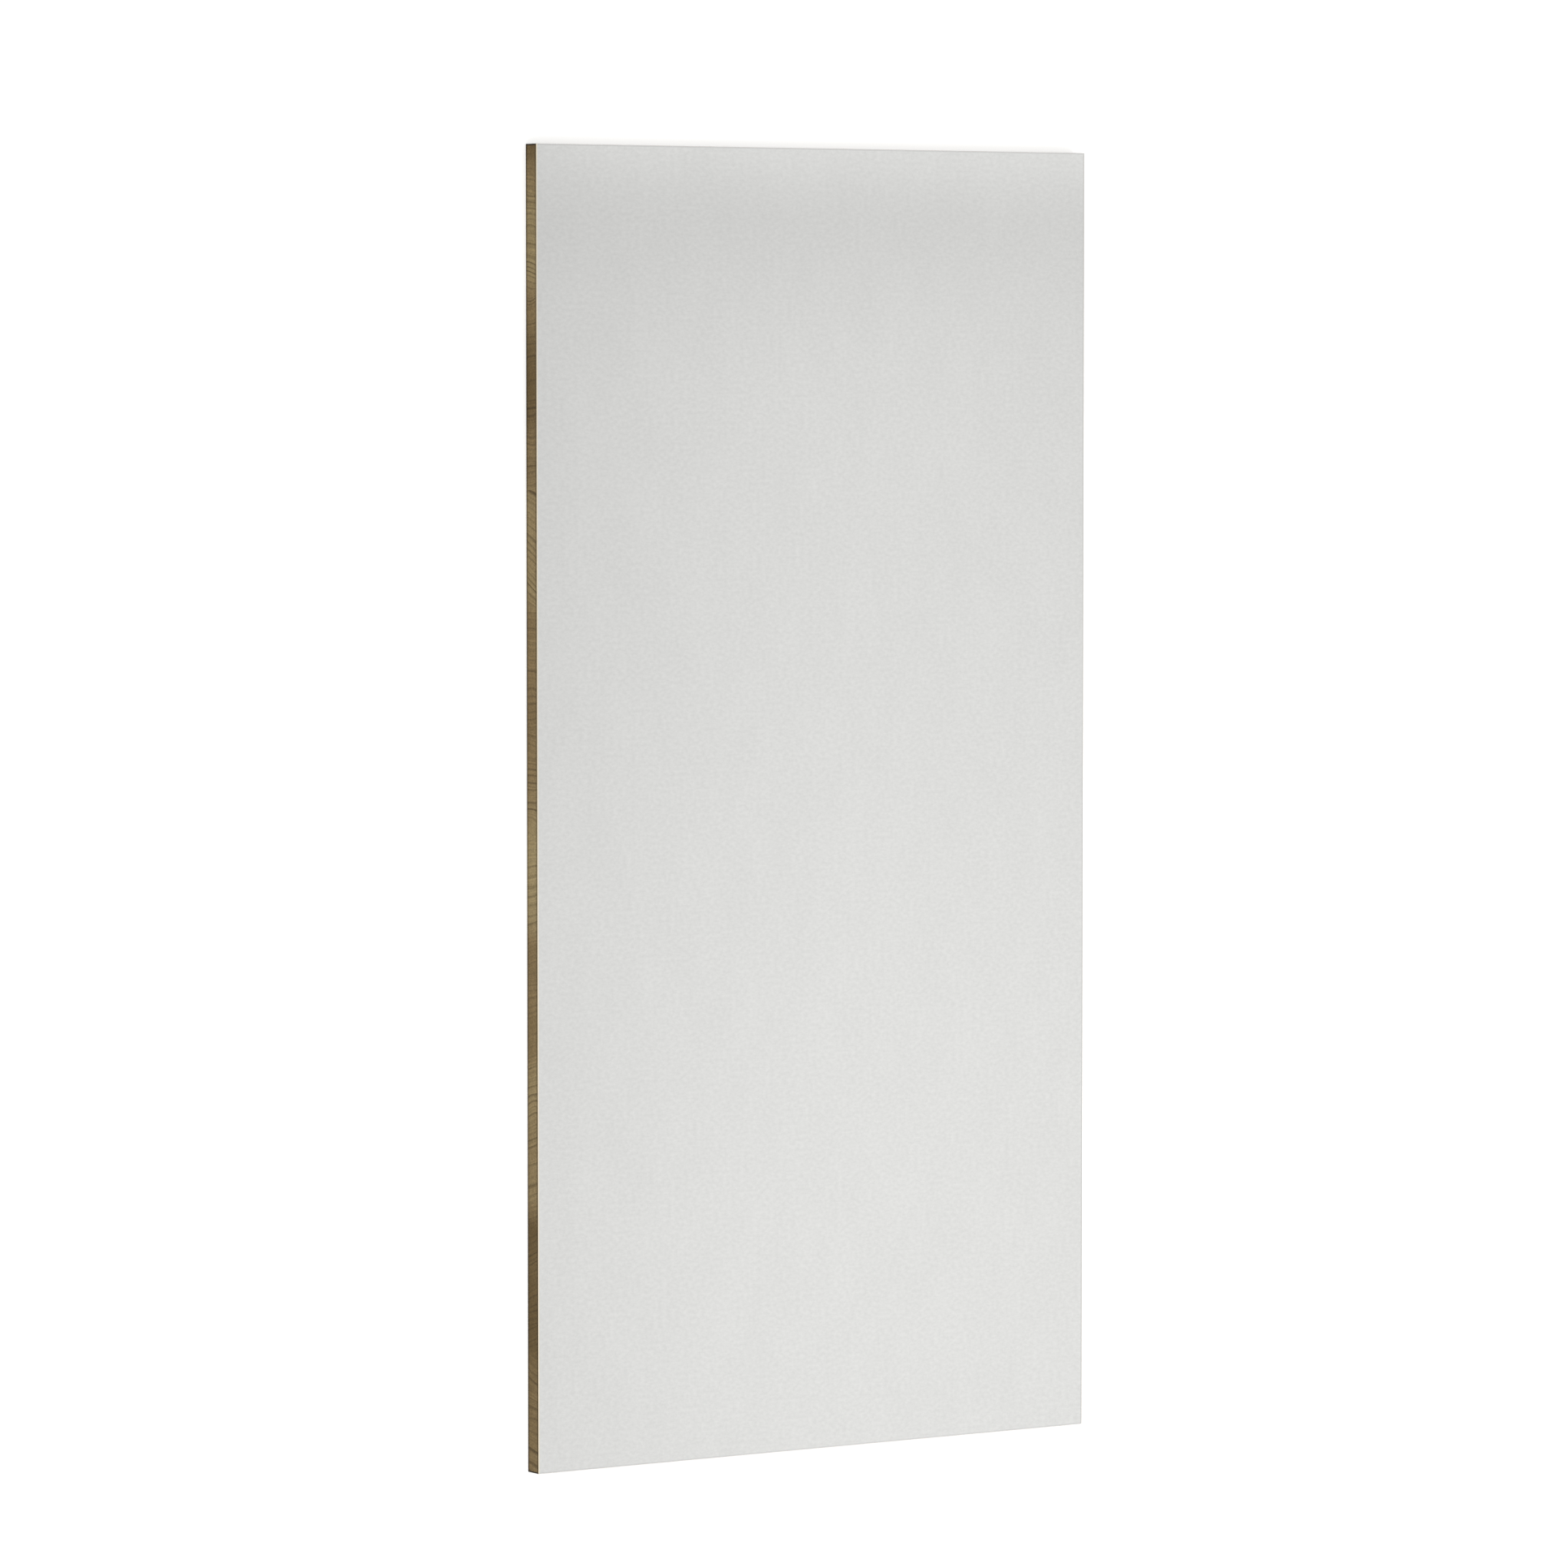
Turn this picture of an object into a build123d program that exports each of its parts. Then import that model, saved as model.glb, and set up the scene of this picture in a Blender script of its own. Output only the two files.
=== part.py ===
"""Laminate-faced board: one full 4 ft by 8 ft sheet of stock.

A solid wood core carries a decorative laminate on its upper face. The sheet lies flat,
decorative face up: X runs across the 4 ft width, Y along the 8 ft length and Z up through
the thickness. The origin is the centre of the core's back face, where the sheet rests.
All sizes are in millimetres.
"""

import os

from build123d import *

# Outline, shared by both layers: they are trimmed flush together
sheet_width = 1219.2
sheet_length = 2438.4

# Wood core: sawn square, with the arris round its back face taken off by sanding
core_thickness = 36.5
back_arris = 0.3

# Decorative laminate: its cut edge stands square for a thin land and is then bevelled
# back to the decorative face by the trimming cutter
laminate_thickness = 1.5
trim_land = 0.2
trim_bevel = laminate_thickness - trim_land

# The bond line, where the laminate lies on the core
bond_height = core_thickness

# Wood core
with BuildPart() as core_board:
    with BuildSketch(Plane.XY):
        Rectangle(sheet_width, sheet_length)
    extrude(amount=core_thickness)
    back_face = core_board.faces().sort_by(Axis.Z)[0]
    chamfer(back_face.edges(), length=back_arris)
core_board.part.label = "core_board"

# Decorative laminate
with BuildPart() as face_laminate:
    with BuildSketch(Plane.XY.offset(bond_height)):
        Rectangle(sheet_width, sheet_length)
    extrude(amount=laminate_thickness)
    decorative_face = face_laminate.faces().sort_by(Axis.Z)[-1]
    chamfer(decorative_face.edges(), length=trim_bevel)
face_laminate.part.label = "face_laminate"

os.makedirs("parts", exist_ok=True)
for piece in (core_board, face_laminate):
    export_step(piece.part, f"parts/{piece.part.label}.step")
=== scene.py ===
"""Laminate-faced board: its finishes, and the floor, light and camera that it is seen with.

The frame holds two pieces, a glued-up timber core and the decorative laminate bonded on top of it.
Both keep their own shape, so this script dresses them and builds the studio round them.
Places and sizes are in metres, as in the frame. Names that end in _mm are in millimetres, which
is also what the finishes measure their patterns in.
"""

import logging
import math
from collections.abc import Mapping, Sequence
from dataclasses import dataclass
from enum import Enum

import bmesh
import bpy
from mathutils import Matrix, Vector


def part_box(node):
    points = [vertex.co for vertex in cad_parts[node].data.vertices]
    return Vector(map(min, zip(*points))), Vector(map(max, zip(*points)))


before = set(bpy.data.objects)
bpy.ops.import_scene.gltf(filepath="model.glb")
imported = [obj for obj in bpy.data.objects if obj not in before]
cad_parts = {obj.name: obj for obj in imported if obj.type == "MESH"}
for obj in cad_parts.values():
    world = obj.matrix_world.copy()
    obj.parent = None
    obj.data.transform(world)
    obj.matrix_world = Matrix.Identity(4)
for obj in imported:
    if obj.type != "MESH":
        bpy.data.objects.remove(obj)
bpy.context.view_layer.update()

LOG = logging.getLogger("laminate_board")
MM_PER_METRE = 1000.0

Colour = tuple[float, float, float, float]
Triple = tuple[float, float, float]
Span = tuple[float, float]
NodeTree = bpy.types.NodeTree
Socket = bpy.types.NodeSocket
SocketValue = float | Sequence[float] | Socket

WHITE: Colour = (1.0, 1.0, 1.0, 1.0)
# The sRGB curve is straight up to a knee, and a power above it.
SRGB_TOP = 255
SRGB_KNEE = 0.04045
SRGB_SLOPE = 12.92
SRGB_OFFSET = 0.055
SRGB_POWER = 2.4
# A noise runs from 0 to 1 about its middle.
NOISE_SPAN: Span = (0.0, 1.0)
NOISE_MIDDLE = 0.5
RISING: Span = (0.0, 1.0)
FALLING: Span = (1.0, 0.0)


class SeenBy(Enum):
    """Rays that show the white studio, named as the Light Path node names them."""

    CAMERA = "Is Camera Ray"
    GLOSS = "Is Glossy Ray"
    GLASS = "Is Transmission Ray"


class Noise(Enum):
    """How a noise is drawn, as its scale, detail and roughness.

    The scale is 1 in all of them, because a place is divided by the pattern's size beforehand.
    """

    SMOOTH = (1.0, 1.0, 0.5)
    UNEVEN = (1.0, 1.5, 0.5)
    WAVY = (1.0, 2.0, 0.5)
    CLOUDED = (1.0, 3.0, 0.5)
    GRAINY = (1.0, 2.0, 0.6)


def linear(hex_code: str) -> Colour:
    """Turns an sRGB hex colour into the linear colour that shaders take.

    Args:
        hex_code: The colour as "#RRGGBB".

    Returns:
        Its linear red, green and blue, with an alpha of 1.
    """
    channels = [int(hex_code[start : start + 2], 16) / SRGB_TOP for start in (1, 3, 5)]
    red, green, blue = (
        level / SRGB_SLOPE
        if level <= SRGB_KNEE
        else ((level + SRGB_OFFSET) / (1 + SRGB_OFFSET)) ** SRGB_POWER
        for level in channels
    )
    return red, green, blue, 1.0


def add_node(
    tree: NodeTree,
    kind: str,
    inputs: Sequence[SocketValue] | Mapping[str, SocketValue] = (),
    output: str = "",
    **settings: object,
) -> Socket | None:
    """Adds a node with its settings and links.

    Args:
        tree: The node tree that takes the node.
        kind: The node's type, without the ShaderNode that all of them start with.
        inputs: What its sockets hold, in their order or by name: a value, or a socket to link.
        output: The name of the output that is wanted, or nothing for the first in use.
        settings: The node's own properties.

    Returns:
        The wanted output socket, or None for a node that has none.
    """
    node = tree.nodes.new("ShaderNode" + kind)
    for name, setting in settings.items():
        setattr(node, name, setting)
    if isinstance(inputs, Mapping):
        filled = [(node.inputs[name], value) for name, value in inputs.items()]
    else:
        filled = list(zip([socket for socket in node.inputs if socket.enabled], inputs))
    for socket, value in filled:
        if isinstance(value, Socket):
            tree.links.new(value, socket)
        else:
            socket.default_value = value
    if output:
        return node.outputs[output]
    return next((socket for socket in node.outputs if socket.enabled), None)


def new_tree(owner: bpy.types.Material | bpy.types.World) -> NodeTree:
    """Gives a material or the world an empty node tree and returns it."""
    owner.use_nodes = True
    owner.node_tree.nodes.clear()
    return owner.node_tree


def object_mm(tree: NodeTree) -> Socket:
    """Adds the piece's own coordinates, turned from metres to millimetres."""
    metres = add_node(tree, "TexCoord", output="Object")
    return add_node(tree, "VectorMath", (metres, MM_PER_METRE), operation="SCALE")


def shown_white(tree: NodeTree) -> Socket:
    """Adds a value that is 1 for rays that show the white studio, and 0 for those that carry light."""
    path = add_node(tree, "LightPath").node
    seen = path.outputs[SeenBy.CAMERA.value]
    for ray in (SeenBy.GLOSS, SeenBy.GLASS):
        seen = add_node(tree, "Math", (seen, path.outputs[ray.value]), operation="MAXIMUM")
    return seen


@dataclass(frozen=True)
class Stave:
    """One strip of timber in the core, running across the board with its end grain on the long edges.

    Attributes:
        upper_mm: Where the strip begins, at its +Y side.
        tone: Its mean depth of colour, from 0 for pale sapwood to about 1 for dark heartwood.
        ring_mm: The mean width of its growth rings.
        lean: How far a ring shifts along the board for each millimetre that it rises.
        figure: How clearly its rings show, from 0 for none to 1 for the strongest.
    """

    upper_mm: float
    tone: float
    ring_mm: float
    lean: float
    figure: float


@dataclass(frozen=True)
class SawnPine:
    """Pine staves, glued edge to edge and sawn across: pale early wood between darker late-wood lines.

    The rings are solid in the timber, so they cross the long edges, and run along the short edges
    and the back as straight grain.

    Attributes:
        staves: The strips, from the +Y end to the -Y end.
        sapwood: The colour of the palest timber.
        midwood: The colour of the timber between the two.
        heartwood: The colour of the darkest timber.
        late_wood: The colour of a full ring line.
        dark_edge: The colour of the painted shade at the arrises, and of the darker band below
        the bond line.
        midwood_tone: The depth of colour that midwood has.
        drift_mm: The size along X, Y and Z of the slow changes in tone.
        tone_drift: How far those changes go, from the palest to the darkest.
        tone_blend_mm: The length over which one stave's tone shades into the next.
        wander_mm: The size along X, Y and Z of the bends in the rings.
        wander_reach_mm: How far a bend takes a ring.
        sway_mm: The length over which the lean and the bow of the rings change.
        lean_sway: How far the lean changes either way.
        bow_sway: How far the bow changes either way.
        crowding_mm: The length over which the rings crowd and spread.
        crowding_reach_mm: How far crowding takes a ring.
        ring_strength: The faintest and the strongest ring line.
        late_rise: The stretch of a ring, as parts of its width, where its late wood darkens.
        late_end: The stretch where it ends.
        clarity_mm: The length over which the rings grow clear and faint.
        clarity_noise: The part of the noise that this follows.
        clarity: How clear the rings are at its two ends.
        hairline_mm: The spacing of the hairlines between the rings.
        hairline_depth: How far they shade the timber either way.
        fibre_mm: The size of the fibres along X, Y and Z.
        fibre_depth: How far they shade the timber either way.
        fibre_noise: The part of the fibre pattern that the roughness follows.
        roughness: The roughness at its two ends.
        relief_mm: The height of the sawn relief.
        relief_strength: How much of it the light shows.
        ring_relief: The share of the ring lines in it, where the fibres count 1.
        ior: The index of refraction.
        specular: The level of its gloss, where 0.5 is that of the index.
        edge_tilt: How far a face's normal may point up or down for the face to be a sawn edge.
        bond_band_mm: How far the darker band below the bond line reaches.
        bond_band_depth: How dark it is there.
        back_shade_mm: How far the painted shade at the back arris reaches up the edge.
        back_shade_tone: A pale and a dark tone.
        back_shade_depth: How dark the painted shade at the back arris is on timber of these tones.
        corner_shade_mm: How far the painted shade reaches along the edges from an upright corner.
        corner_shade_depth: How dark it is there.
    """

    staves: tuple[Stave, ...]
    sapwood: str = "#978762"
    midwood: str = "#7E6B4A"
    heartwood: str = "#5E4C2D"
    late_wood: str = "#3C2E16"
    # Painted shade at the arrises, and the darker band below the bond line, take this colour.
    dark_edge: str = "#1E160A"
    midwood_tone: float = 0.5
    drift_mm: Triple = (700.0, 190.0, 190.0)
    tone_drift: float = 1.0
    tone_blend_mm: float = 60.0
    wander_mm: Triple = (900.0, 150.0, 150.0)
    wander_reach_mm: float = 22.0
    sway_mm: float = 120.0
    lean_sway: float = 0.4
    bow_sway: float = 0.8
    crowding_mm: float = 75.0
    crowding_reach_mm: float = 30.0
    ring_strength: Span = (0.12, 1.0)
    late_rise: Span = (0.48, 0.86)
    late_end: Span = (0.9, 1.0)
    clarity_mm: float = 55.0
    clarity_noise: Span = (0.35, 0.65)
    clarity: Span = (0.4, 1.0)
    hairline_mm: float = 4.0
    hairline_depth: float = 0.28
    # Fibres are about 0.05 mm across. They are drawn far coarser, so that they show in the render.
    fibre_mm: Triple = (45.0, 3.0, 3.0)
    fibre_depth: float = 0.5
    fibre_noise: Span = (0.25, 0.75)
    roughness: Span = (0.82, 0.64)
    relief_mm: float = 0.15
    relief_strength: float = 0.5
    ring_relief: float = 0.6
    ior: float = 1.45
    specular: float = 0.25
    edge_tilt: float = 0.9
    # Painted shade at the back arris and the upright corners, and a darker band below the bond line.
    bond_band_mm: float = 7.0
    bond_band_depth: float = 0.75
    back_shade_mm: float = 8.0
    back_shade_tone: Span = (0.2, 0.9)
    back_shade_depth: Span = (0.75, 1.0)
    corner_shade_mm: float = 3.6
    corner_shade_depth: float = 1.0

    def build(self, low: Vector, high: Vector) -> bpy.types.Material:
        """Builds the material for a core that fills a box.

        Args:
            low: The core's lowest corner.
            high: Its highest corner.

        Returns:
            The material.
        """
        # The saw leaves open fibres, so the timber is matt, with a dull gloss along the denser ones.
        material = bpy.data.materials.new("pine_staves_sawn")
        tree = new_tree(material)
        place = object_mm(tree)
        tone, ring_mm, lean, figure = self.stave_traits(tree, place)
        run = self.ring_run(tree, place, lean, low.z * MM_PER_METRE, high.z * MM_PER_METRE)
        line = self.ring_lines(tree, run, ring_mm, figure)
        fibre = add_node(tree, "VectorMath", (place, self.fibre_mm), operation="DIVIDE")
        fibre = add_node(tree, "TexNoise", (fibre, *Noise.GRAINY.value))
        colour = self.timber_colour(tree, place, tone, line)
        colour = self.grained(tree, colour, run, fibre)
        # Painted shade at the back arris and the upright corners, and a darker band below the bond
        # line.
        colour = self.painted_dark_edges(
            tree, place, tone, colour, low * MM_PER_METRE, high * MM_PER_METRE
        )
        relief = add_node(tree, "Math", (line, self.ring_relief, fibre), operation="MULTIPLY_ADD")
        normal = add_node(
            tree,
            "Bump",
            {
                "Strength": self.relief_strength,
                "Distance": self.relief_mm / MM_PER_METRE,
                "Height": relief,
            },
        )
        roughness = add_node(tree, "MapRange", (fibre, *self.fibre_noise, *self.roughness))
        surface = add_node(
            tree,
            "BsdfPrincipled",
            {
                "Base Color": colour,
                "Roughness": roughness,
                "IOR": self.ior,
                "Specular IOR Level": self.specular,
                "Normal": normal,
            },
        )
        add_node(tree, "OutputMaterial", (surface,))
        return material

    def stave_traits(
        self, tree: NodeTree, place: Socket
    ) -> tuple[SocketValue, SocketValue, SocketValue, SocketValue]:
        """Adds the traits of the stave that a point lies in.

        The tone shades over from stave to stave, and the rings change at the glue joint.

        Args:
            tree: The material's node tree.
            place: The point, in millimetres.

        Returns:
            The tone, the ring width, the lean and the figure.
        """
        along = add_node(tree, "SeparateXYZ", (place,), output="Y")
        first = self.staves[0]
        tone: SocketValue = first.tone
        ring_mm: SocketValue = first.ring_mm
        lean: SocketValue = first.lean
        figure: SocketValue = first.figure
        for stave in self.staves[1:]:
            below = add_node(tree, "Math", (along, stave.upper_mm), operation="LESS_THAN")
            ring_mm = add_node(tree, "Mix", (below, ring_mm, stave.ring_mm), data_type="FLOAT")
            lean = add_node(tree, "Mix", (below, lean, stave.lean), data_type="FLOAT")
            figure = add_node(tree, "Mix", (below, figure, stave.figure), data_type="FLOAT")
            upper_mm = stave.upper_mm + self.tone_blend_mm / 2
            lower_mm = stave.upper_mm - self.tone_blend_mm / 2
            shaded = add_node(tree, "MapRange", (along, lower_mm, upper_mm, *FALLING))
            tone = add_node(tree, "Mix", (shaded, tone, stave.tone), data_type="FLOAT")
        return tone, ring_mm, lean, figure

    def ring_run(
        self, tree: NodeTree, place: Socket, lean: SocketValue, low_mm: float, high_mm: float
    ) -> Socket:
        """Adds the distance across the growth rings, which lean, bow and wander through the timber.

        Args:
            tree: The material's node tree.
            place: The point, in millimetres.
            lean: How far the stave's rings shift along the board for each millimetre that they rise.
            low_mm: The height of the core's back.
            high_mm: The height of the bond line.

        Returns:
            The distance in millimetres.
        """
        along = add_node(tree, "SeparateXYZ", (place,), output="Y")
        height = add_node(tree, "SeparateXYZ", (place,), output="Z")
        rise = add_node(tree, "Math", (height, (low_mm + high_mm) / 2), operation="SUBTRACT")
        sway = add_node(tree, "Math", (along, self.sway_mm), operation="DIVIDE")
        sway = add_node(
            tree, "TexNoise", (sway, *Noise.SMOOTH.value), output="Color", noise_dimensions="1D"
        )
        sway = add_node(tree, "VectorMath", (sway, (NOISE_MIDDLE,) * 3), operation="SUBTRACT")
        sway = add_node(tree, "VectorMath", (sway, 1 / NOISE_MIDDLE), operation="SCALE")
        lean_sway = add_node(tree, "SeparateXYZ", (sway,), output="X")
        lean = add_node(tree, "Math", (lean_sway, self.lean_sway, lean), operation="MULTIPLY_ADD")
        bow_sway = add_node(tree, "SeparateXYZ", (sway,), output="Y")
        bow = add_node(tree, "Math", (rise, self.bow_sway / (high_mm - low_mm)), operation="MULTIPLY")
        slope = add_node(tree, "Math", (bow_sway, bow, lean), operation="MULTIPLY_ADD")
        shift = add_node(tree, "Math", (rise, slope), operation="MULTIPLY")
        leaning = add_node(tree, "Math", (along, shift), operation="SUBTRACT")
        wander = add_node(tree, "VectorMath", (place, self.wander_mm), operation="DIVIDE")
        wander = add_node(tree, "TexNoise", (wander, *Noise.WAVY.value))
        return add_node(
            tree, "Math", (wander, self.wander_reach_mm, leaning), operation="MULTIPLY_ADD"
        )

    def ring_lines(
        self, tree: NodeTree, run: Socket, ring_mm: SocketValue, figure: SocketValue
    ) -> Socket:
        """Adds the dark late-wood lines of the growth rings, crowded in places and faint in others.

        Args:
            tree: The material's node tree.
            run: The distance across the rings.
            ring_mm: The mean width of the stave's rings.
            figure: How clearly the stave's rings show.

        Returns:
            How dark the line is, from 0 between the lines to 1 on the strongest.
        """
        crowd = add_node(tree, "Math", (run, self.crowding_mm), operation="DIVIDE")
        crowd = add_node(tree, "TexNoise", (crowd, *Noise.UNEVEN.value), noise_dimensions="1D")
        rings = add_node(tree, "Math", (crowd, self.crowding_reach_mm, run), operation="MULTIPLY_ADD")
        rings = add_node(tree, "Math", (rings, ring_mm), operation="DIVIDE")
        within = add_node(tree, "Math", (rings,), operation="FRACT")
        number = add_node(tree, "Math", (rings,), operation="FLOOR")
        strength = add_node(tree, "TexWhiteNoise", (number,), noise_dimensions="1D")
        strength = add_node(tree, "MapRange", (strength, *NOISE_SPAN, *self.ring_strength))
        strength = add_node(tree, "Math", (strength, figure), operation="MULTIPLY")
        clarity = add_node(tree, "Math", (run, self.clarity_mm), operation="DIVIDE")
        clarity = add_node(tree, "TexNoise", (clarity, *Noise.SMOOTH.value), noise_dimensions="1D")
        clarity = add_node(tree, "MapRange", (clarity, *self.clarity_noise, *self.clarity))
        line = add_node(tree, "Math", (strength, clarity), operation="MULTIPLY")
        for stretch, change in ((self.late_rise, RISING), (self.late_end, FALLING)):
            shape = add_node(
                tree, "MapRange", (within, *stretch, *change), interpolation_type="SMOOTHSTEP"
            )
            line = add_node(tree, "Math", (line, shape), operation="MULTIPLY")
        return line

    def timber_colour(self, tree: NodeTree, place: Socket, tone: SocketValue, line: Socket) -> Socket:
        """Adds the timber's colour: the stave's tone, its drift and the ring lines.

        Args:
            tree: The material's node tree.
            place: The point, in millimetres.
            tone: The stave's depth of colour.
            line: How dark the ring lines are.

        Returns:
            The colour.
        """
        drift = add_node(tree, "VectorMath", (place, self.drift_mm), operation="DIVIDE")
        drift = add_node(tree, "TexNoise", (drift, *Noise.CLOUDED.value))
        drift = add_node(
            tree, "MapRange", (drift, *NOISE_SPAN, -self.tone_drift / 2, self.tone_drift / 2)
        )
        tone = add_node(tree, "Math", (tone, drift), operation="ADD")
        ramp = add_node(tree, "ValToRGB", (tone,))
        stops = ramp.node.color_ramp.elements
        stops.new(self.midwood_tone)
        for stop, hex_code in zip(stops, (self.sapwood, self.midwood, self.heartwood)):
            stop.color = linear(hex_code)
        return add_node(tree, "Mix", (line, ramp, linear(self.late_wood)), data_type="RGBA")

    def grained(self, tree: NodeTree, colour: Socket, run: Socket, fibre: Socket) -> Socket:
        """Shades the timber with hairlines between the rings and with its fibres.

        Args:
            tree: The material's node tree.
            colour: The timber's colour.
            run: The distance across the rings.
            fibre: The fibre pattern.

        Returns:
            The shaded colour.
        """
        hairs = add_node(tree, "Math", (run, self.hairline_mm), operation="DIVIDE")
        hairs = add_node(tree, "TexNoise", (hairs, *Noise.SMOOTH.value), noise_dimensions="1D")
        shade = add_node(
            tree, "MapRange", (hairs, *NOISE_SPAN, -self.hairline_depth, self.hairline_depth)
        )
        lift = add_node(
            tree, "MapRange", (fibre, *NOISE_SPAN, 1 - self.fibre_depth, 1 + self.fibre_depth)
        )
        shade = add_node(tree, "Math", (shade, lift), operation="ADD")
        return add_node(tree, "HueSaturation", {"Value": shade, "Color": colour})

    def painted_dark_edges(
        self,
        tree: NodeTree,
        place: Socket,
        tone: SocketValue,
        colour: Socket,
        low_mm: Vector,
        high_mm: Vector,
    ) -> Socket:
        """Paints shade on the sawn edges at the back arris and at the upright corners.

        It also paints a darker band below the bond line. The painted shade at the back is deeper
        on dark heartwood than on pale sapwood.

        Args:
            tree: The material's node tree.
            place: The point, in millimetres.
            tone: The stave's depth of colour.
            colour: The timber's colour.
            low_mm: The core's lowest corner.
            high_mm: Its highest corner.

        Returns:
            The colour with the painted shade and the darker band on its edges.
        """
        facing = add_node(tree, "NewGeometry", output="True Normal")
        facing = add_node(tree, "SeparateXYZ", (facing,), output="Z")
        upright = add_node(tree, "Math", (facing, 0.0, self.edge_tilt), operation="COMPARE")
        height = add_node(tree, "SeparateXYZ", (place,), output="Z")
        inward = add_node(tree, "VectorMath", (place,), operation="ABSOLUTE")
        inward = add_node(tree, "VectorMath", (high_mm, inward), operation="SUBTRACT")
        from_side = add_node(tree, "SeparateXYZ", (inward,), output="X")
        from_end = add_node(tree, "SeparateXYZ", (inward,), output="Y")
        corner = add_node(tree, "Math", (from_side, from_end), operation="MAXIMUM")
        back_shade = add_node(tree, "MapRange", (tone, *self.back_shade_tone, *self.back_shade_depth))
        dark_edges: SocketValue = 0.0
        # A darker band below the bond line, and painted shade at the back arris and at the upright
        # corners.
        for distance, near_mm, far_mm, depth in (
            (height, high_mm.z, high_mm.z - self.bond_band_mm, self.bond_band_depth),
            (height, low_mm.z, low_mm.z + self.back_shade_mm, back_shade),
            (corner, self.corner_shade_mm / 2, self.corner_shade_mm, self.corner_shade_depth),
        ):
            band = add_node(
                tree,
                "MapRange",
                (distance, near_mm, far_mm, depth, 0.0),
                interpolation_type="SMOOTHSTEP",
            )
            dark_edges = add_node(tree, "Math", (dark_edges, band), operation="MAXIMUM")
        dark_edges = add_node(tree, "Math", (dark_edges, upright), operation="MULTIPLY")
        return add_node(tree, "Mix", (dark_edges, colour, linear(self.dark_edge)), data_type="RGBA")


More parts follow.
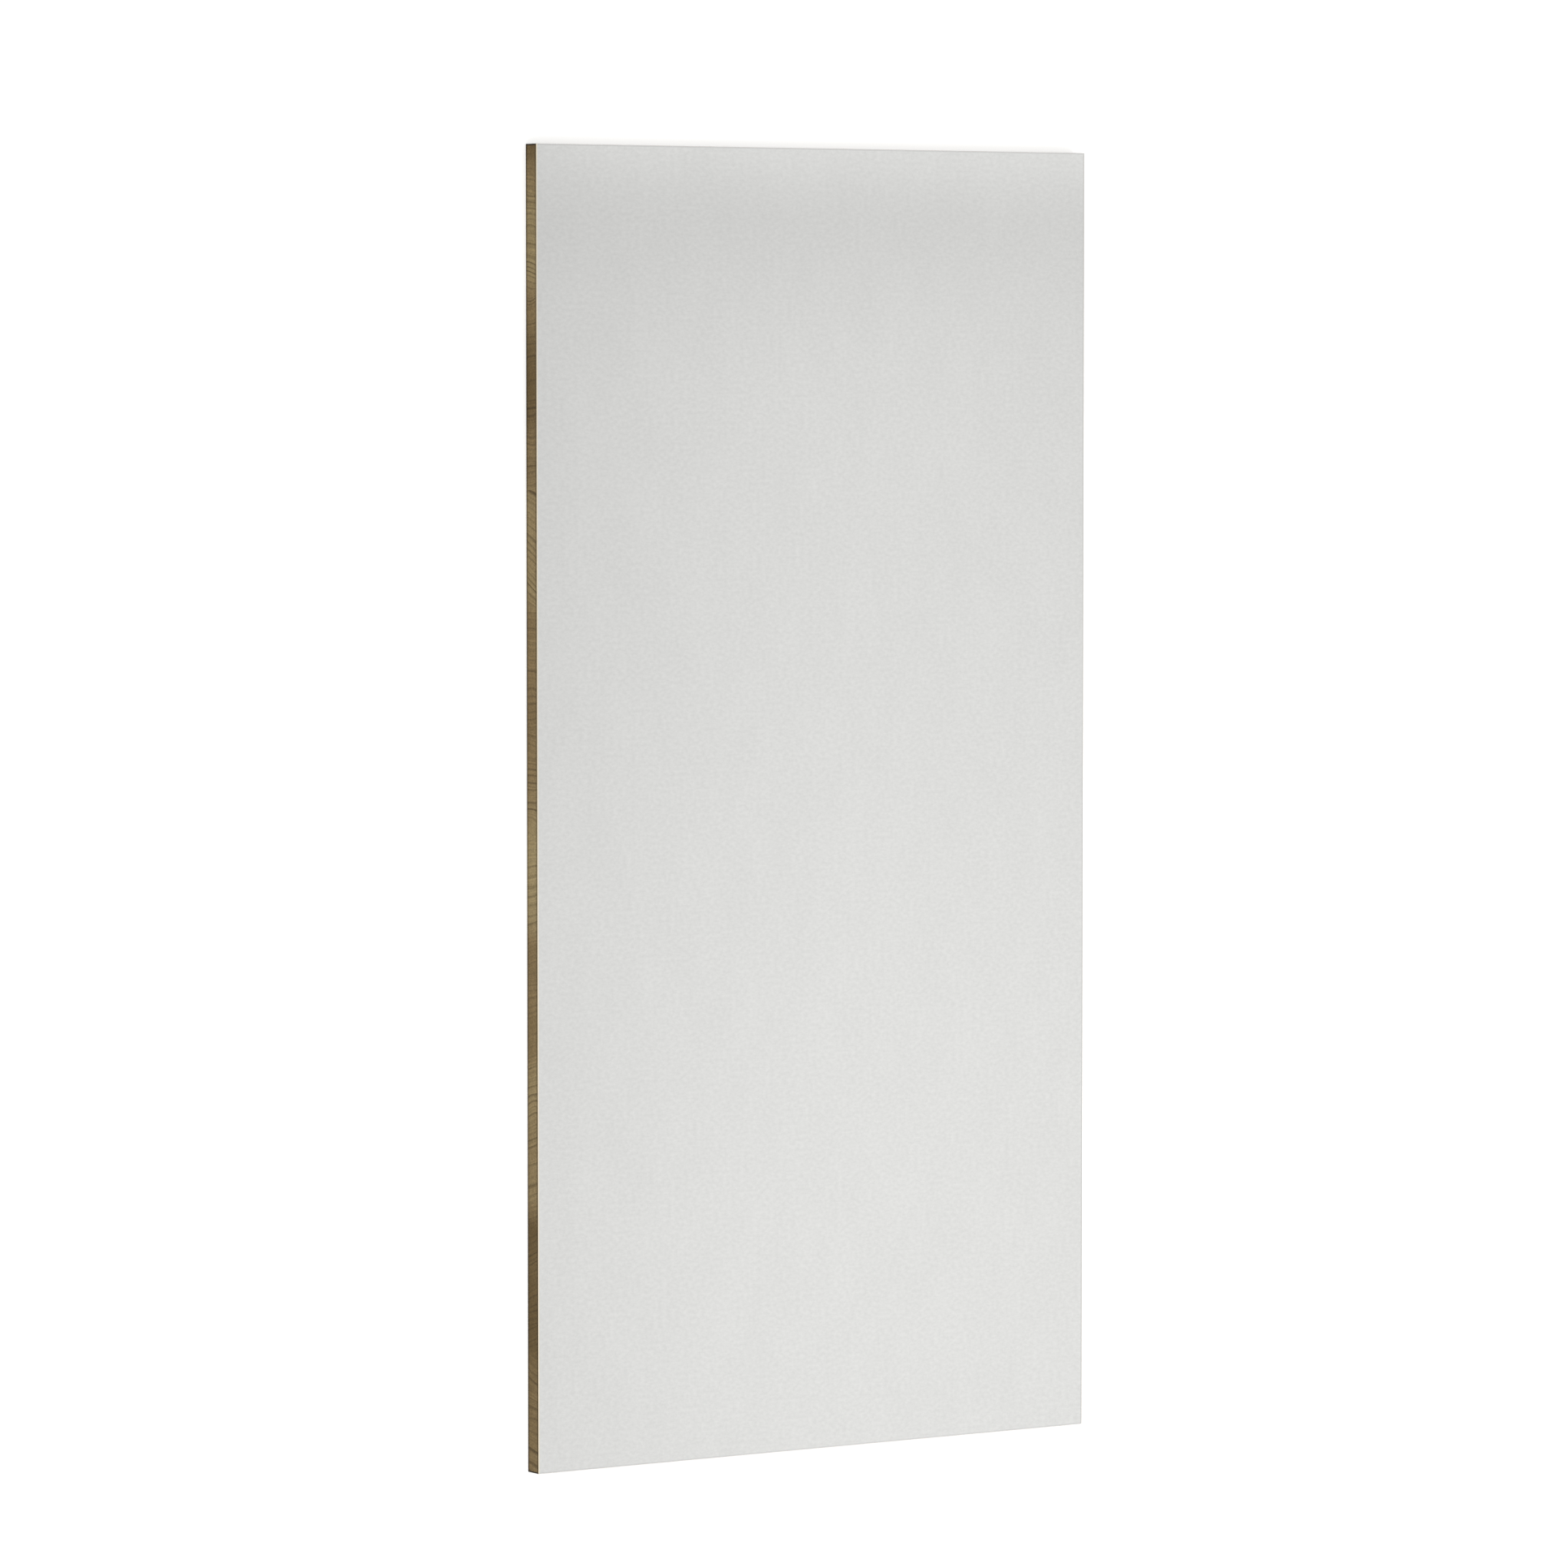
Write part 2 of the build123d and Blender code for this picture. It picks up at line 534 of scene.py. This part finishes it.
@dataclass(frozen=True)
class SuedeLaminate:
    """High-pressure decorative laminate with a suede press finish: an even grey with a faint mottle.

    Handling leaves faint, larger smudges along the sheet. The trimmed edges show the papers under
    the print: cream on the long sides, off-white at the ends, and a thin tan line of kraft at the
    bond. At -X the cream reaches past the cut onto the face, as a painted highlight. Inside the
    trim at +X and at the ends the face has a darker grey rim of painted shade.

    Attributes:
        grey_light: The palest grey of the print.
        grey_dark: Its darkest grey.
        side_rim_shade: The colour of the rim of painted shade at +X.
        end_rim_shade: The colour of the rim of painted shade at the ends.
        side_trim: The colour of the cut on the long sides.
        end_trim: The colour of the cut at the ends.
        kraft: The colour of the kraft paper.
        mottle_mm: The size of the mottle along X, Y and Z.
        smudge_mm: The size of the smudges along X, Y and Z.
        smudge_depth: How far they go, where 1 is from the darkest grey to the palest.
        suede_mm: The size of the press grain.
        suede_relief_mm: The height of the press grain.
        suede_strength: How much of it the light shows.
        grain_noise: The part of a noise that the mottle and the roughness follow.
        roughness: The roughness at its two ends.
        ior: The index of refraction.
        left_trim_and_highlight_mm: The width of the cream at -X: the cut, and past it a painted
        highlight on the face.
        bevel_mm: The width of the cut that shows on the other edges.
        side_rim_shade_mm: Where the painted shade at +X begins to fade and where it is gone.
        end_rim_shade_mm: Where the painted shade at the ends begins to fade and where it is gone.
        kraft_mm: The height of the kraft paper above the bond.
    """

    grey_light: str = "#DBDBD9"
    grey_dark: str = "#D2D2D0"
    # The rim colours are painted shade, darker than the face.
    side_rim_shade: str = "#C4C4C2"
    end_rim_shade: str = "#C4C4C2"
    side_trim: str = "#E5DCCB"
    end_trim: str = "#E4E4E4"
    kraft: str = "#B09A6C"
    mottle_mm: Triple = (9.5, 6.3, 6.3)
    smudge_mm: Triple = (60.0, 120.0, 120.0)
    smudge_depth: float = 0.6
    # The press grain is about 0.2 mm across. It is drawn coarser, so that it shows in the render.
    suede_mm: float = 4.0
    suede_relief_mm: float = 0.02
    suede_strength: float = 0.4
    grain_noise: Span = (0.3, 0.7)
    roughness: Span = (0.36, 0.44)
    ior: float = 1.5
    # Past the cut, the cream at -X is a painted highlight on the face.
    left_trim_and_highlight_mm: float = 2.1
    bevel_mm: float = 1.3
    side_rim_shade_mm: Span = (2.8, 4.0)
    end_rim_shade_mm: Span = (1.6, 3.2)
    kraft_mm: float = 0.4

    def build(self, low: Vector, high: Vector) -> bpy.types.Material:
        """Builds the material for a laminate whose decorative face is at the top of its box.

        Args:
            low: The laminate's lowest corner.
            high: Its highest corner.

        Returns:
            The material.
        """
        # The press plate leaves a fine grain in the resin, so light spreads into a wide, weak sheen.
        material = bpy.data.materials.new("high_pressure_laminate_suede")
        tree = new_tree(material)
        place = object_mm(tree)
        grey = self.mottled_grey(tree, place)
        colour = self.trimmed_edges(tree, place, grey, low * MM_PER_METRE, high * MM_PER_METRE)
        suede = add_node(tree, "VectorMath", (place, 1 / self.suede_mm), operation="SCALE")
        suede = add_node(tree, "TexNoise", (suede, *Noise.SMOOTH.value))
        normal = add_node(
            tree,
            "Bump",
            {
                "Strength": self.suede_strength,
                "Distance": self.suede_relief_mm / MM_PER_METRE,
                "Height": suede,
            },
        )
        roughness = add_node(tree, "MapRange", (suede, *self.grain_noise, *self.roughness))
        surface = add_node(
            tree,
            "BsdfPrincipled",
            {"Base Color": colour, "Roughness": roughness, "IOR": self.ior, "Normal": normal},
        )
        add_node(tree, "OutputMaterial", (surface,))
        return material

    def mottled_grey(self, tree: NodeTree, place: Socket) -> Socket:
        """Adds the printed grey, with its fine mottle and the faint smudges along the sheet.

        Args:
            tree: The material's node tree.
            place: The point, in millimetres.

        Returns:
            The colour.
        """
        mottle = add_node(tree, "VectorMath", (place, self.mottle_mm), operation="DIVIDE")
        mottle = add_node(tree, "TexNoise", (mottle, *Noise.GRAINY.value))
        mottle = add_node(tree, "MapRange", (mottle, *self.grain_noise, *RISING))
        smudge = add_node(tree, "VectorMath", (place, self.smudge_mm), operation="DIVIDE")
        smudge = add_node(tree, "TexNoise", (smudge, *Noise.GRAINY.value))
        smudge = add_node(
            tree, "MapRange", (smudge, *NOISE_SPAN, -self.smudge_depth / 2, self.smudge_depth / 2)
        )
        tone = add_node(tree, "Math", (mottle, smudge), operation="ADD")
        return add_node(
            tree,
            "Mix",
            (tone, linear(self.grey_dark), linear(self.grey_light)),
            data_type="RGBA",
        )

    def trimmed_edges(
        self, tree: NodeTree, place: Socket, grey: Socket, low_mm: Vector, high_mm: Vector
    ) -> Socket:
        """Colours the edges: the shaded rims, the cut papers over them, and the kraft at the bond.

        The rims are painted shade. At -X the cream reaches past the cut as a painted highlight.

        Args:
            tree: The material's node tree.
            place: The point, in millimetres.
            grey: The colour of the face.
            low_mm: The laminate's lowest corner.
            high_mm: Its highest corner.

        Returns:
            The colour with its edges trimmed.
        """
        from_low = add_node(tree, "VectorMath", (place, low_mm), operation="SUBTRACT")
        from_high = add_node(tree, "VectorMath", (high_mm, place), operation="SUBTRACT")
        from_left = add_node(tree, "SeparateXYZ", (from_low,), output="X")
        from_right = add_node(tree, "SeparateXYZ", (from_high,), output="X")
        from_near_end = add_node(tree, "SeparateXYZ", (from_low,), output="Y")
        from_far_end = add_node(tree, "SeparateXYZ", (from_high,), output="Y")
        from_end = add_node(tree, "Math", (from_near_end, from_far_end), operation="MINIMUM")
        colour = grey
        # Rims of painted shade inside the trim at +X and at the ends.
        for distance, rim_shade_mm, hex_code in (
            (from_end, self.end_rim_shade_mm, self.end_rim_shade),
            (from_right, self.side_rim_shade_mm, self.side_rim_shade),
        ):
            rim_shade = add_node(tree, "MapRange", (distance, *rim_shade_mm, *FALLING))
            colour = add_node(tree, "Mix", (rim_shade, colour, linear(hex_code)), data_type="RGBA")
        height = add_node(tree, "SeparateXYZ", (from_low,), output="Z")
        # The cut papers and the kraft; at -X the cream reaches past the cut as a painted highlight.
        for distance, cut_mm, hex_code in (
            (from_end, self.bevel_mm, self.end_trim),
            (from_right, self.bevel_mm, self.side_trim),
            (from_left, self.left_trim_and_highlight_mm, self.side_trim),
            (height, self.kraft_mm, self.kraft),
        ):
            cut = add_node(tree, "Math", (distance, cut_mm), operation="LESS_THAN")
            colour = add_node(tree, "Mix", (cut, colour, linear(hex_code)), data_type="RGBA")
        return colour


@dataclass(frozen=True)
class FloorPaint:
    """Matt white studio floor. The camera sees it lifted to white, with the board's shadow left in.

    Attributes:
        white: Its colour.
        lift: How much white is added where it is seen.
        roughness: Its roughness.
        specular: The level of its gloss.
    """

    white: str = "#EDEDEB"
    lift: float = 0.5
    roughness: float = 0.9
    specular: float = 0.0

    def build(self) -> bpy.types.Material:
        """Builds the material and returns it."""
        # Matt paint scatters light evenly, so the floor shows a soft shadow and no reflection.
        material = bpy.data.materials.new("matt_white_floor_paint")
        tree = new_tree(material)
        lift = add_node(tree, "Math", (shown_white(tree), self.lift), operation="MULTIPLY")
        surface = add_node(
            tree,
            "BsdfPrincipled",
            {
                "Base Color": linear(self.white),
                "Roughness": self.roughness,
                "Specular IOR Level": self.specular,
                "Emission Color": WHITE,
                "Emission Strength": lift,
            },
        )
        add_node(tree, "OutputMaterial", (surface,))
        return material


@dataclass
class BoardPiece:
    """A piece of the board, which keeps its own shape and takes a finish.

    Attributes:
        finish: What it is made of.
        node: Its name in the frame.
    """

    finish: SawnPine | SuedeLaminate
    node: str

    def dress(self) -> bpy.types.Object:
        """Gives the piece its finish and returns it."""
        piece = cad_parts[self.node]
        low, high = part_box(self.node)
        piece.material_slots[0].material = self.finish.build(low, high)
        return piece


@dataclass
class CoreBoard(BoardPiece):
    """The glued-up timber core."""

    node: str = "core_board"


@dataclass
class FaceLaminate(BoardPiece):
    """The decorative laminate, bevel-trimmed flush with the core."""

    node: str = "face_laminate"


@dataclass(frozen=True)
class Softbox:
    """A soft rectangular lamp.

    Attributes:
        name: What the lamp does.
        place: Its middle.
        aim: The point that it faces.
        width: The length of its first side.
        depth: The length of its second side.
        radiance: How bright it looks, where 1 is white.
    """

    name: str
    place: Triple
    aim: Triple
    width: float
    depth: float
    radiance: float

    def build(self) -> bpy.types.Object:
        """Builds the lamp and returns its object."""
        lamp = bpy.data.lights.new(self.name, "AREA")
        lamp.shape = "RECTANGLE"
        lamp.size = self.width
        lamp.size_y = self.depth
        lamp.energy = self.radiance * self.width * self.depth * math.pi
        holder = bpy.data.objects.new(self.name, lamp)
        facing = Vector(self.aim) - Vector(self.place)
        holder.matrix_world = Matrix.LocRotScale(
            Vector(self.place), facing.to_track_quat("-Z", "Y"), None
        )
        holder.visible_camera = False
        holder.visible_glossy = False
        bpy.context.scene.collection.objects.link(holder)
        return holder


@dataclass
class Studio:
    """The white floor, the even light all round and the soft lamps.

    Attributes:
        lamps: The soft lamps.
        paint: The floor's finish.
        floor_half: Half the floor's side.
        floor_drop: How far the floor lies below the board, so that no two faces coincide.
        room_light: How bright the room is all round, as light on the board.
    """

    lamps: tuple[Softbox, ...]
    paint: FloorPaint
    floor_half: float = 40.0
    floor_drop: float = 0.0002
    room_light: float = 0.605

    def build_floor(self) -> bpy.types.Object:
        """Builds the floor and returns its object."""
        mesh = bmesh.new()
        bmesh.ops.create_grid(mesh, x_segments=1, y_segments=1, size=self.floor_half)
        bmesh.ops.translate(mesh, vec=(0.0, 0.0, -self.floor_drop), verts=mesh.verts)
        data = bpy.data.meshes.new("studio_floor")
        mesh.to_mesh(data)
        mesh.free()
        data.materials.append(self.paint.build())
        floor = bpy.data.objects.new("studio_floor", data)
        bpy.context.scene.collection.objects.link(floor)
        return floor

    def build_world(self) -> bpy.types.World:
        """Builds the world, an even fill that shows as plain white, and returns it."""
        world = bpy.data.worlds.new("white_studio")
        tree = new_tree(world)
        strength = add_node(
            tree, "Mix", (shown_white(tree), self.room_light, 1.0), data_type="FLOAT"
        )
        fill = add_node(tree, "Background", (WHITE, strength))
        add_node(tree, "OutputWorld", (fill,))
        bpy.context.scene.world = world
        return world


@dataclass(frozen=True)
class ViewCamera:
    """The camera, high over the board's left side, with the board's length upright in its picture.

    Attributes:
        place: Where it stands.
        aim: The point in the middle of its picture.
        upward: The direction that is upright in its picture.
        lens_mm: Its focal length.
        sensor_mm: The width of its picture on the sensor.
    """

    place: Triple = (-7.7886, 0.8324, 11.9827)
    aim: Triple = (-0.0721, 0.0350, 0.0365)
    upward: Triple = (0.0, 1.0, 0.0)
    lens_mm: float = 175.15
    sensor_mm: float = 36.0

    def build(self) -> bpy.types.Object:
        """Builds the camera, makes it the scene's own and returns its object."""
        lens = bpy.data.cameras.new("view_camera")
        lens.lens = self.lens_mm
        lens.sensor_width = self.sensor_mm
        camera = bpy.data.objects.new("view_camera", lens)
        forward = (Vector(self.aim) - Vector(self.place)).normalized()
        right = forward.cross(Vector(self.upward)).normalized()
        turn = Matrix((right, right.cross(forward), -forward)).transposed()
        camera.matrix_world = Matrix.LocRotScale(Vector(self.place), turn.to_quaternion(), None)
        bpy.context.scene.collection.objects.link(camera)
        bpy.context.scene.camera = camera
        return camera


# The tones, rings and leans follow the look of the long edge at -X.
CORE_STAVES = (
    Stave(upper_mm=1219.2, tone=1.0, ring_mm=24.0, lean=0.0, figure=0.3),
    Stave(upper_mm=1197.0, tone=0.47, ring_mm=24.0, lean=-0.2, figure=0.35),
    Stave(upper_mm=1125.0, tone=0.2, ring_mm=12.0, lean=-0.1, figure=0.9),
    Stave(upper_mm=950.0, tone=0.57, ring_mm=6.0, lean=0.05, figure=0.7),
    Stave(upper_mm=885.0, tone=1.05, ring_mm=13.0, lean=0.1, figure=0.7),
    Stave(upper_mm=757.0, tone=0.87, ring_mm=13.0, lean=0.1, figure=0.9),
    Stave(upper_mm=690.0, tone=0.58, ring_mm=12.0, lean=0.1, figure=1.0),
    Stave(upper_mm=588.0, tone=0.22, ring_mm=14.0, lean=-0.4, figure=1.0),
    Stave(upper_mm=375.0, tone=0.64, ring_mm=14.0, lean=0.0, figure=0.65),
    Stave(upper_mm=146.0, tone=0.37, ring_mm=12.0, lean=-0.15, figure=0.75),
    Stave(upper_mm=-45.0, tone=0.19, ring_mm=18.0, lean=0.15, figure=0.65),
    Stave(upper_mm=-225.0, tone=0.66, ring_mm=11.0, lean=0.2, figure=0.35),
    Stave(upper_mm=-470.0, tone=0.38, ring_mm=12.0, lean=0.3, figure=0.75),
    Stave(upper_mm=-745.0, tone=1.03, ring_mm=9.0, lean=0.35, figure=0.75),
    Stave(upper_mm=-1000.0, tone=0.57, ring_mm=17.0, lean=-0.25, figure=1.0),
)

LAMPS = (
    Softbox(
        name="overhead_softbox",
        place=(-0.12, -0.98, 3.1),
        aim=(4.38, -1.29, 0.17),
        width=3.0,
        depth=3.0,
        radiance=2.55,
    ),
    Softbox(
        name="end_strip",
        place=(0.17, 1.241, 0.153),
        aim=(0.17, 1.241, 0.0),
        width=1.6,
        depth=0.08,
        radiance=0.504,
    ),
    Softbox(
        name="lengthwise_softbox",
        place=(0.06, 1.086, 0.583),
        aim=(0.06, 0.0, 0.583),
        width=1.2,
        depth=0.3,
        radiance=0.823,
    ),
    Softbox(
        name="edge_fill",
        place=(-5.0, 0.0, 0.6),
        aim=(-0.61, 0.0, 0.02),
        width=3.0,
        depth=1.2,
        radiance=5.8,
    ),
)


def main() -> None:
    """Dresses the board, builds the studio and the camera, and reports each piece."""
    logging.basicConfig(level=logging.INFO, format="%(message)s")
    bpy.context.scene.view_settings.view_transform = "Standard"
    for part in (CoreBoard(SawnPine(CORE_STAVES)), FaceLaminate(SuedeLaminate())):
        piece = part.dress()
        LOG.info("%s wears %s", piece.name, piece.material_slots[0].material.name)
    studio = Studio(LAMPS, FloorPaint())
    LOG.info("floor %s", studio.build_floor().name)
    LOG.info("world %s", studio.build_world().name)
    for lamp in studio.lamps:
        LOG.info("lamp %s", lamp.build().name)
    LOG.info("camera %s", ViewCamera().build().name)


if __name__ == "__main__":
    main()
